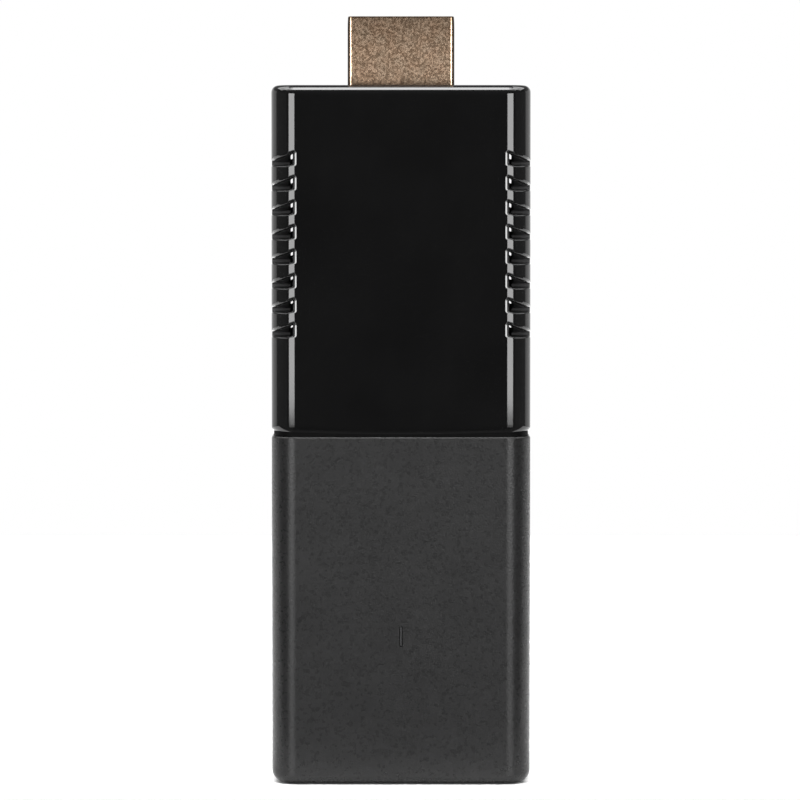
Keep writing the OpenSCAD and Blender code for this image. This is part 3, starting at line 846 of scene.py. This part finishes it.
def light_pipe():
    """Smoked pill-shaped end of the light pipe, and the foot behind the wall."""
    skin = Skin()
    z = (pipe_low.z + pipe_high.z) / 2
    loop = outline(rounded_box(PIPE_W, PIPE_H, PIPE_W / 2 - PILL_SLACK, QUARTER, z), 0.4, 0.06)

    def place(u, height, depth):
        co, normal, along, up = on_skin(u, height, depth)
        return co - Vector((0, PIPE_PROUD, 0)), normal, along, up

    for k in range(4):
        a = QUARTER_TURN * k / 3
        ring = []
        for u, height, nu, nz in loop:
            inset = PIPE_ROUNDING * (1 - math.sin(a))
            depth = PIPE_ROUNDING * (1 - math.cos(a))
            co, normal, along, up = place(u - nu * inset, height - nz * inset, depth)
            lateral = along * nu + up * nz
            ring.append(skin.point((co, normal * math.cos(a) + lateral * math.sin(a))))
        if k:
            skin.strip(before, ring, True)
        else:
            skin.fill(ring, loop)
        before = ring
    wall_down(skin, before, [on_skin(u, height, TAIL_WALL + 0.1)[0] for u, height, _, _ in loop])
    foot = outline(rounded_box(PIPE_FOOT_W, PIPE_FOOT_H, PIPE_FOOT_R, QUARTER, z), 0.8)
    front_y = -HALF_T + TAIL_WALL + 0.06
    back_y = pipe_high.y
    rings = []
    for y, facing in ((front_y, -1), (back_y, 1)):
        ring = [skin.point((Vector((QUARTER - u, y, height)), Vector((0, facing, 0))))
                for u, height, _, _ in foot]
        skin.fill(ring, foot)
        rings.append(ring)
    edges = [[skin.point((skin.points[p], (-nu, 0, nz))) for p, (_, _, nu, nz) in zip(ring, foot)]
             for ring in rings]
    skin.strip(*edges, True)
    return skin.build("light_pipe")


def label():
    """Blank label with rounded corners and a soft edge, lying in its recess."""
    skin = Skin()
    z = (label_low.z + label_high.z) / 2
    w = 2 * label_high.x
    h = label_high.z - label_low.z
    loop = outline(rounded_box(w, h, LABEL_R, 0, z), 1.0, 0.15)
    rings = []
    for k in range(4):
        a = QUARTER_TURN * k / 3
        inset = LABEL_ROUNDING * (1 - math.sin(a))
        y = label_high.y - LABEL_ROUNDING * (1 - math.cos(a))
        rings.append(skin.line((Vector((x - nx * inset, y, height - nz * inset)),
                                Vector((nx * math.sin(a), math.cos(a), nz * math.sin(a))))
                               for x, height, nx, nz in loop))
    skin.strips(rings)
    low = wall_down(skin, rings[-1], [Vector((x, label_low.y, height)) for x, height, _, _ in loop])
    for ring, facing in ((rings[0], 1), (low, -1)):
        skin.fill(skin.facing(ring, (0, facing, 0)), loop)
    return skin.build("label")


# ------------ finishes

class Finish:
    """A node material under construction, in the frame's own coordinates."""

    def __init__(self, name):
        self.material = bpy.data.materials.new(name)
        self.material.use_nodes = True
        self.nodes = self.material.node_tree.nodes
        self.links = self.material.node_tree.links
        self.shader = self.nodes["Principled BSDF"]
        self.place = self.nodes.new("ShaderNodeTexCoord").outputs["Object"]
        self.bumped = None

    def texture(self, kind, scale):
        """Texture node of a kind, read at the frame's coordinates times scale."""
        mapping = self.nodes.new("ShaderNodeMapping")
        mapping.inputs["Scale"].default_value = scale
        self.links.new(self.place, mapping.inputs["Vector"])
        node = self.nodes.new(kind)
        node.inputs["Scale"].default_value = 1.0
        self.links.new(mapping.outputs["Vector"], node.inputs["Vector"])
        return node

    def noise(self, size, stretch=(1, 1, 1), detail=3.0, roughness=0.5):
        """Noise whose features are about size millimetres across, longer where stretch is large."""
        node = self.texture("ShaderNodeTexNoise", [1 / (s * size * MM) for s in stretch])
        node.inputs["Detail"].default_value = detail
        node.inputs["Roughness"].default_value = roughness
        return node.outputs["Fac"]

    def cells(self, size):
        """Cell pattern with cells about size millimetres across."""
        return self.texture("ShaderNodeTexVoronoi", [1 / (size * MM)] * 3).outputs["Distance"]

    def ranged(self, value, low, high, from_low=0.3, from_high=0.7):
        """The value stretched to run from low to high."""
        node = self.nodes.new("ShaderNodeMapRange")
        self.links.new(value, node.inputs["Value"])
        for key, number in (("From Min", from_low), ("From Max", from_high),
                            ("To Min", low), ("To Max", high)):
            node.inputs[key].default_value = number
        return node.outputs["Result"]

    def along(self, axis, stops, mirrored=False):
        """Grey level along an axis; stops are (millimetres, level), mirrored treats both sides alike."""
        split = self.nodes.new("ShaderNodeSeparateXYZ")
        self.links.new(self.place, split.inputs["Vector"])
        value = split.outputs[axis]
        if mirrored:
            size = self.nodes.new("ShaderNodeMath")
            size.operation = "ABSOLUTE"
            self.links.new(value, size.inputs[0])
            value = size.outputs["Value"]
        low, high = stops[0][0], stops[-1][0]
        return self.ramp(self.ranged(value, 0, 1, low * MM, high * MM),
                         [((at - low) / (high - low), (grey, grey, grey)) for at, grey in stops])

    def ramp(self, value, stops):
        """Colour ramp; stops are (position, (r, g, b))."""
        node = self.nodes.new("ShaderNodeValToRGB")
        ramp = node.color_ramp
        while len(ramp.elements) < len(stops):
            ramp.elements.new(0.5)
        for element, (position, rgb) in zip(ramp.elements, stops):
            element.position = position
            element.color = (*rgb, 1)
        self.links.new(value, node.inputs["Fac"])
        return node.outputs["Color"]

    def shaded(self, value, shades):
        """A colour or a grey value multiplied by shades."""
        for shade in shades:
            node = self.nodes.new("ShaderNodeMixRGB")
            node.blend_type = "MULTIPLY"
            node.inputs["Fac"].default_value = 1.0
            self.links.new(value, node.inputs[1])
            self.links.new(shade, node.inputs[2])
            value = node.outputs["Color"]
        return value

    def colour(self, value, stops, *shades):
        """Base colour from a ramp, multiplied by any shades."""
        self.links.new(self.shaded(self.ramp(value, stops), shades), self.shader.inputs["Base Color"])

    def rough(self, value, low, high, *shades):
        """Roughness from low to high, multiplied by any shades."""
        level_there = self.shaded(self.ranged(value, low, high), shades)
        self.links.new(level_there, self.shader.inputs["Roughness"])

    def bump(self, value, depth):
        """Raises the surface by depth millimetres over the value's range; bumps add up."""
        node = self.nodes.new("ShaderNodeBump")
        node.inputs["Distance"].default_value = depth * MM
        self.links.new(value, node.inputs["Height"])
        if self.bumped:
            self.links.new(self.bumped, node.inputs["Normal"])
        self.bumped = node.outputs["Normal"]
        self.links.new(self.bumped, self.shader.inputs["Normal"])

    def set(self, **sockets):
        """Sets plain values on the shader; a socket's name is written with underscores."""
        for key, value in sockets.items():
            self.shader.inputs[key.replace("_", " ").title().replace("Ior", "IOR")].default_value = value
        return self


def gloss_finish():
    """Polished moulding, a little scuffed along its top edge, its rim and its sides."""
    f = Finish("gloss_black")
    ends = f.along("Z", [(LIP_SIDE_Z - 0.6, 1.5), (LIP_SIDE_Z + 0.5, 1.0), (-0.5, 1.0), (0, 1.3)])
    sides = f.along("X", [(0, 1.0), (HALF_W - 0.2, 1.0), (HALF_W, 1.4)], mirrored=True)
    f.colour(f.noise(9, detail=2), [(0.3, (0.0048, 0.0048, 0.0049)), (0.7, (0.0060, 0.0060, 0.0061))],
             ends, sides)
    f.rough(f.noise(2.2, (1, 1, 6), detail=5), 0.03, 0.075, sides)
    f.bump(f.noise(5, detail=1), 0.0006)
    f.bump(f.noise(0.35, (1, 1, 9), detail=2), 0.00004)
    return f.set(specular_ior_level=0.5).material


def matte_finish():
    """Fine spark-eroded texture, darkened towards the foot by painted shade, and rubbed paler along its
    edges.
    """
    f = Finish("matte_grey")
    # Painted shade, darker towards the foot; the paler very top and bottom edges are wear
    lower = f.along("Z", [(TAIL_END, 1.0), (TAIL_END + 0.7, 0.62), (TAIL_END + 5, 0.78),
                          (TAIL_END + 14, 0.9), (TAIL_END + 24, 1.0), (TAIL_TOP - 0.3, 1.0),
                          (TAIL_TOP, 1.3)])
    sides = f.along("X", [(0, 1.0), (HALF_W - 0.3, 1.0), (HALF_W, 1.25)], mirrored=True)
    rubbed = f.along("Z", [(TAIL_END, 0.8), (TAIL_END + 0.9, 1.0), (TAIL_TOP, 1.0)])
    grain = f.noise(0.24, detail=2, roughness=0.6)
    f.colour(f.noise(6, detail=4), [(0.3, (0.0116, 0.0116, 0.0117)), (0.7, (0.0150, 0.0150, 0.0151))],
             lower, sides, f.ramp(grain, [(0.36, (0.8, 0.8, 0.8)), (0.64, (1.2, 1.2, 1.2))]))
    f.rough(f.noise(0.5, detail=3), 0.25, 0.33, rubbed)
    f.bump(grain, 0.014)
    f.bump(f.cells(0.22), 0.008)
    return f.set(specular_ior_level=0.27).material


def plug_finish():
    """Satin gold-nickel plating with a coarse grain, with painted shadow where it meets the housing,
    painted shade towards and at the tip and at the edges, and a painted highlight as a bright line just
    inside each edge."""
    f = Finish("plug_plating")
    tip = plug_high.z
    side = plug_high.x
    # Painted shadow inside the housing, then painted shade falling towards the tip and darkest at the
    # tip itself
    painted_plug_shade = f.along("Z", [(-0.3, 0.25), (0.25, 0.45), (0.9, 0.92), (4.5, 0.87), (tip - 1, 0.60),
                                 (tip - 0.22, 0.53), (tip - 0.12, 0.1), (tip, 0.1)])
    # Painted highlight as a bright line just inside each edge, and painted shade along the edges
    # themselves
    painted_edge_highlight_and_shade = f.along("X", [(0, 1.0), (side - 0.6, 1.0), (side - 0.46, 2.2), (side - 0.17, 2.2),
                               (side - 0.11, 0.06), (side, 0.06)], mirrored=True)
    tarnish = f.ramp(f.noise(1.6, detail=3), [(0.35, (1.03, 0.99, 0.96)), (0.65, (0.98, 1.01, 1.02))])
    f.colour(f.noise(0.26, detail=1.5), [(0.39, (0.175, 0.117, 0.077)), (0.5, (0.278, 0.193, 0.131)),
                                         (0.61, (0.405, 0.290, 0.205))],
             painted_plug_shade, painted_edge_highlight_and_shade, tarnish)
    burnish = f.along("X", [(0, 0.27), (side - 0.6, 0.27), (side - 0.4, 0.12), (side, 0.12)],
                      mirrored=True)
    f.links.new(burnish, f.shader.inputs["Roughness"])
    f.bump(f.noise(0.28, detail=2, roughness=0.6), 0.004)
    return f.set(metallic=1.0).material


def plain_finish(name, dark, light, patch, rough, grain, depth, metallic=0.0, stretch=(1, 1, 1),
                 **sockets):
    """Two tones in patches, patchy roughness and a grain; sizes in millimetres."""
    f = Finish(name)
    f.colour(f.noise(patch, stretch, detail=4), [(0.32, dark), (0.68, light)])
    f.rough(f.noise(patch * 0.6, stretch, detail=3), *rough)
    f.bump(f.noise(grain, stretch, detail=3, roughness=0.6), depth)
    return f.set(metallic=metallic, **sockets).material


# Dark and light tone, patch size, roughness range, grain size and depth; then metalness and stretch
PLAIN_FINISHES = {
    "light_guide": ((0.032, 0.032, 0.033), (0.044, 0.044, 0.045), 0.8, (0.30, 0.40), 0.2, 0.001),
    "label_film": ((0.020, 0.020, 0.021), (0.030, 0.030, 0.031), 5, (0.42, 0.55), 0.12, 0.004),
    "contact_gold": ((0.72, 0.47, 0.15), (0.86, 0.60, 0.24), 0.8, (0.18, 0.32), 0.08, 0.002, 1.0,
                     (1, 1, 4)),
    "connector_black": ((0.010, 0.010, 0.010), (0.018, 0.018, 0.018), 1.2, (0.42, 0.60), 0.1, 0.004),
    "tin_shell": ((0.50, 0.51, 0.52), (0.66, 0.66, 0.67), 1.5, (0.22, 0.38), 0.12, 0.003, 1.0,
                  (1, 1, 5)),
    "board_green": ((0.008, 0.038, 0.020), (0.018, 0.070, 0.036), 3, (0.28, 0.42), 0.5, 0.006),
    "chip_black": ((0.012, 0.013, 0.014), (0.022, 0.023, 0.024), 1.6, (0.50, 0.68), 0.09, 0.005),
    "module_can": ((0.46, 0.47, 0.48), (0.62, 0.63, 0.64), 2, (0.26, 0.42), 0.15, 0.003, 1.0,
                   (5, 1, 1)),
    "ferrite_grey": ((0.055, 0.053, 0.050), (0.10, 0.098, 0.094), 0.8, (0.60, 0.80), 0.12, 0.010),
    "ceramic_tan": ((0.34, 0.23, 0.12), (0.50, 0.37, 0.22), 0.6, (0.40, 0.60), 0.08, 0.004),
    "led_white": ((0.80, 0.76, 0.60), (0.88, 0.86, 0.76), 0.5, (0.25, 0.40), 0.1, 0.002),
    "thermal_pad_grey": ((0.20, 0.25, 0.29), (0.30, 0.35, 0.39), 1.5, (0.70, 0.90), 0.3, 0.020),
    "spreader_aluminium": ((0.52, 0.53, 0.54), (0.70, 0.71, 0.72), 2, (0.30, 0.50), 0.14, 0.006,
                           1.0, (1, 1, 6)),
    "plunger_white": ((0.68, 0.68, 0.65), (0.80, 0.80, 0.77), 0.7, (0.35, 0.50), 0.15, 0.003),
    "screw_steel": ((0.42, 0.43, 0.45), (0.58, 0.59, 0.60), 0.8, (0.25, 0.42), 0.1, 0.004, 1.0),
    "moulded_inside": ((0.045, 0.045, 0.046), (0.060, 0.060, 0.061), 1.5, (0.50, 0.62), 0.15, 0.006),
    # The neck's tones, darker than the gloss black, are painted shade for the groove it sits in
    "moulded_neck": ((0.0016, 0.0016, 0.0017), (0.0024, 0.0024, 0.0025), 1.5, (0.50, 0.60), 0.15,
                     0.003),
    "polished_bevel": ((0.0041, 0.0041, 0.0042), (0.0051, 0.0051, 0.0052), 2.0, (0.03, 0.06), 0.3,
                       0.0001),
}
OTHER_SOCKETS = {
    "light_guide": {"specular_ior_level": 0.25},
    "board_green": {"coat_weight": 0.3},
    "moulded_inside": {"specular_ior_level": 0.3},
    "moulded_neck": {"specular_ior_level": 0.05},
    "polished_bevel": {"specular_ior_level": 1.0},
}
FINISHES = {"gloss_black": gloss_finish(), "matte_grey": matte_finish(), "plug_plating": plug_finish()}
for name, values in PLAIN_FINISHES.items():
    FINISHES[name] = plain_finish(name, *values, **OTHER_SOCKETS.get(name, {}))
OTHER_GLOSS_FINISHES = [FINISHES[name] for name in ("moulded_inside", "moulded_neck", "polished_bevel")]

for entry in frame["record"]["subparts"]:
    node = frame["nodes"][entry["node"]]
    node.data.materials.clear()
    node.data.materials.append(FINISHES[entry["material_slot"]])

# ------------ pieces

PIECES = [
    (half_shell("front_shell", 0, 0), "front_cover", "gloss_black"),
    (half_shell("rear_shell", HALF_ROUND, VENT_BACK_SHIFT), "rear_cover", "gloss_black"),
    (tail(), "tail_sleeve", "matte_grey"),
    (plug_shell(), "hdmi_plug_shell", "plug_plating"),
    (light_pipe(), "led_light_pipe", "light_guide"),
    (label(), "rating_label", "label_film"),
]
for piece, node, slot in PIECES:
    piece.data.materials.append(FINISHES[slot])
    if slot == "gloss_black":
        for finish in OTHER_GLOSS_FINISHES:
            piece.data.materials.append(finish)
    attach(piece, "housing")
    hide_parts(node)

# ------------ studio

def sky():
    """White to the camera and low behind the object, dim at the sides and above, dark in front."""
    world = bpy.data.worlds.new("studio")
    scene.world = world
    world.use_nodes = True
    nodes = world.node_tree.nodes
    links = world.node_tree.links
    nodes.clear()
    split = nodes.new("ShaderNodeSeparateXYZ")
    links.new(nodes.new("ShaderNodeTexCoord").outputs["Generated"], split.inputs["Vector"])

    def grey(axis, stops):
        """Grey level along one axis of the direction, which runs from -1 to 1."""
        spread = nodes.new("ShaderNodeMapRange")
        spread.inputs["From Min"].default_value = -1
        ramp = nodes.new("ShaderNodeValToRGB")
        elements = ramp.color_ramp.elements
        while len(elements) < len(stops):
            elements.new(0.5)
        for element, (position, level_there) in zip(elements, stops):
            element.position = (position + 1) / 2
            element.color = (level_there, level_there, level_there, 1)
        links.new(split.outputs[axis], spread.inputs["Value"])
        links.new(spread.outputs["Result"], ramp.inputs["Fac"])
        return ramp.outputs["Color"]

    level_by_depth = grey("Y", [(-1.0, 0.004), (-0.76, 0.006), (-0.66, 0.12), (0.2, 0.18), (0.25, 0.35),
                                (0.29, 1.0)])
    level_by_height = grey("Z", [(-1.0, 1.0), (0.20, 1.0), (0.36, 0.2)])
    both = nodes.new("ShaderNodeMixRGB")
    both.blend_type = "MULTIPLY"
    both.inputs["Fac"].default_value = 1.0
    links.new(level_by_depth, both.inputs[1])
    links.new(level_by_height, both.inputs[2])
    surround = nodes.new("ShaderNodeBackground")
    links.new(both.outputs["Color"], surround.inputs["Color"])
    backdrop = nodes.new("ShaderNodeBackground")
    backdrop.inputs["Color"].default_value = (1, 1, 1, 1)
    mix = nodes.new("ShaderNodeMixShader")
    links.new(nodes.new("ShaderNodeLightPath").outputs["Is Camera Ray"], mix.inputs["Fac"])
    links.new(surround.outputs["Background"], mix.inputs[1])
    links.new(backdrop.outputs["Background"], mix.inputs[2])
    links.new(mix.outputs["Shader"], nodes.new("ShaderNodeOutputWorld").inputs["Surface"])


def softbox(name, azimuth, elevation, distance, wide, high, radiance, aim):
    """Rectangular light in metres, placed by its direction as the object sees it."""
    a, e = math.radians(azimuth), math.radians(elevation)
    away = Vector((math.sin(a) * math.cos(e), -math.cos(a) * math.cos(e), math.sin(e)))
    data = bpy.data.lights.new(name, "AREA")
    data.shape = "RECTANGLE"
    data.size = wide
    data.size_y = high
    data.energy = radiance * math.pi * wide * high
    lamp = bpy.data.objects.new(name, data)
    scene.collection.objects.link(lamp)
    lamp.location = aim + away * distance
    lamp.rotation_euler = away.to_track_quat("Z", "Y").to_euler()
    lamp.visible_camera = False


# In metres, but for the sensor, which is in millimetres as Blender has it
CAMERA_AWAY = 0.600
CAMERA_HEIGHT = -0.01343
AIM_HEIGHT = -0.04108
CAMERA_SIDE = -0.00013
CAMERA_NEAREST = 0.05
FRAME_WIDTH = 0.10486
SENSOR = 36.0
FLOOR_FRONT = -0.02
FLOOR_BACK = 0.42
FLOOR_HALF_W = 0.7
FLOOR_CELL = 0.05
TOP_LIGHTS_AT = 78.5

low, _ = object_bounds()
middle = Vector((0, 0, AIM_HEIGHT))
sky()
top = Vector((0, 0, 0))
# Azimuth and elevation in degrees, then distance, width and height in metres, and radiance
for side, name, azimuth, wide in ((-1, "left", 23.4, 0.405), (1, "right", 23.0, 0.42)):
    softbox("softbox_" + name, side * azimuth, 7.7, 0.9, wide, 0.337, 9.0, middle)
    softbox("softbox_low_" + name, side * 23.8, -13, 0.92, 0.400, 0.32, 1.5, middle)
    softbox("softbox_side_" + name, side * 108, 53, 0.9, 0.66, 0.5, 4.5, top)
# Lights that overlap stand at different distances, as those in one plane lose brightness
for distance, wide, radiance in ((0.88, 0.36, 4.5), (0.90, 0.56, 3.5), (0.92, 0.85, 3.0)):
    softbox(f"softbox_top_{wide}", 0, TOP_LIGHTS_AT, distance, wide, 0.533, radiance, top)
softbox("softbox_top_wide", 0, TOP_LIGHTS_AT, 1.0, 1.6, 0.6, 3.5, top)

columns = round(2 * FLOOR_HALF_W / FLOOR_CELL)
depth_rows = round((FLOOR_BACK - FLOOR_FRONT) / FLOOR_CELL)
floor_mesh = bpy.data.meshes.new("floor")
floor_points = [(FLOOR_HALF_W * (2 * i / columns - 1),
                 FLOOR_FRONT + (FLOOR_BACK - FLOOR_FRONT) * j / depth_rows, low.z)
                for j in range(depth_rows + 1) for i in range(columns + 1)]
floor_faces = [(j * (columns + 1) + i, j * (columns + 1) + i + 1, (j + 1) * (columns + 1) + i + 1,
                (j + 1) * (columns + 1) + i) for j in range(depth_rows) for i in range(columns)]
floor_mesh.from_pydata(floor_points, [], floor_faces)
floor = bpy.data.objects.new("floor", floor_mesh)
scene.collection.objects.link(floor)
floor_mesh.materials.append(plain_finish("floor_white", (0.86, 0.86, 0.86), (0.90, 0.90, 0.90), 60,
                                         (0.75, 0.9), 2, 0.02))

camera_data = bpy.data.cameras.new("camera")
camera = bpy.data.objects.new("camera", camera_data)
scene.collection.objects.link(camera)
aim = Vector((CAMERA_SIDE, 0, AIM_HEIGHT))
camera.location = Vector((CAMERA_SIDE, -CAMERA_AWAY, CAMERA_HEIGHT))
camera.rotation_euler = (camera.location - aim).to_track_quat("Z", "Y").to_euler()
camera_data.sensor_width = SENSOR
camera_data.lens = SENSOR * (camera.location - aim).length / FRAME_WIDTH
camera_data.clip_start = CAMERA_NEAREST
scene.camera = camera
scene.view_settings.view_transform = "Standard"
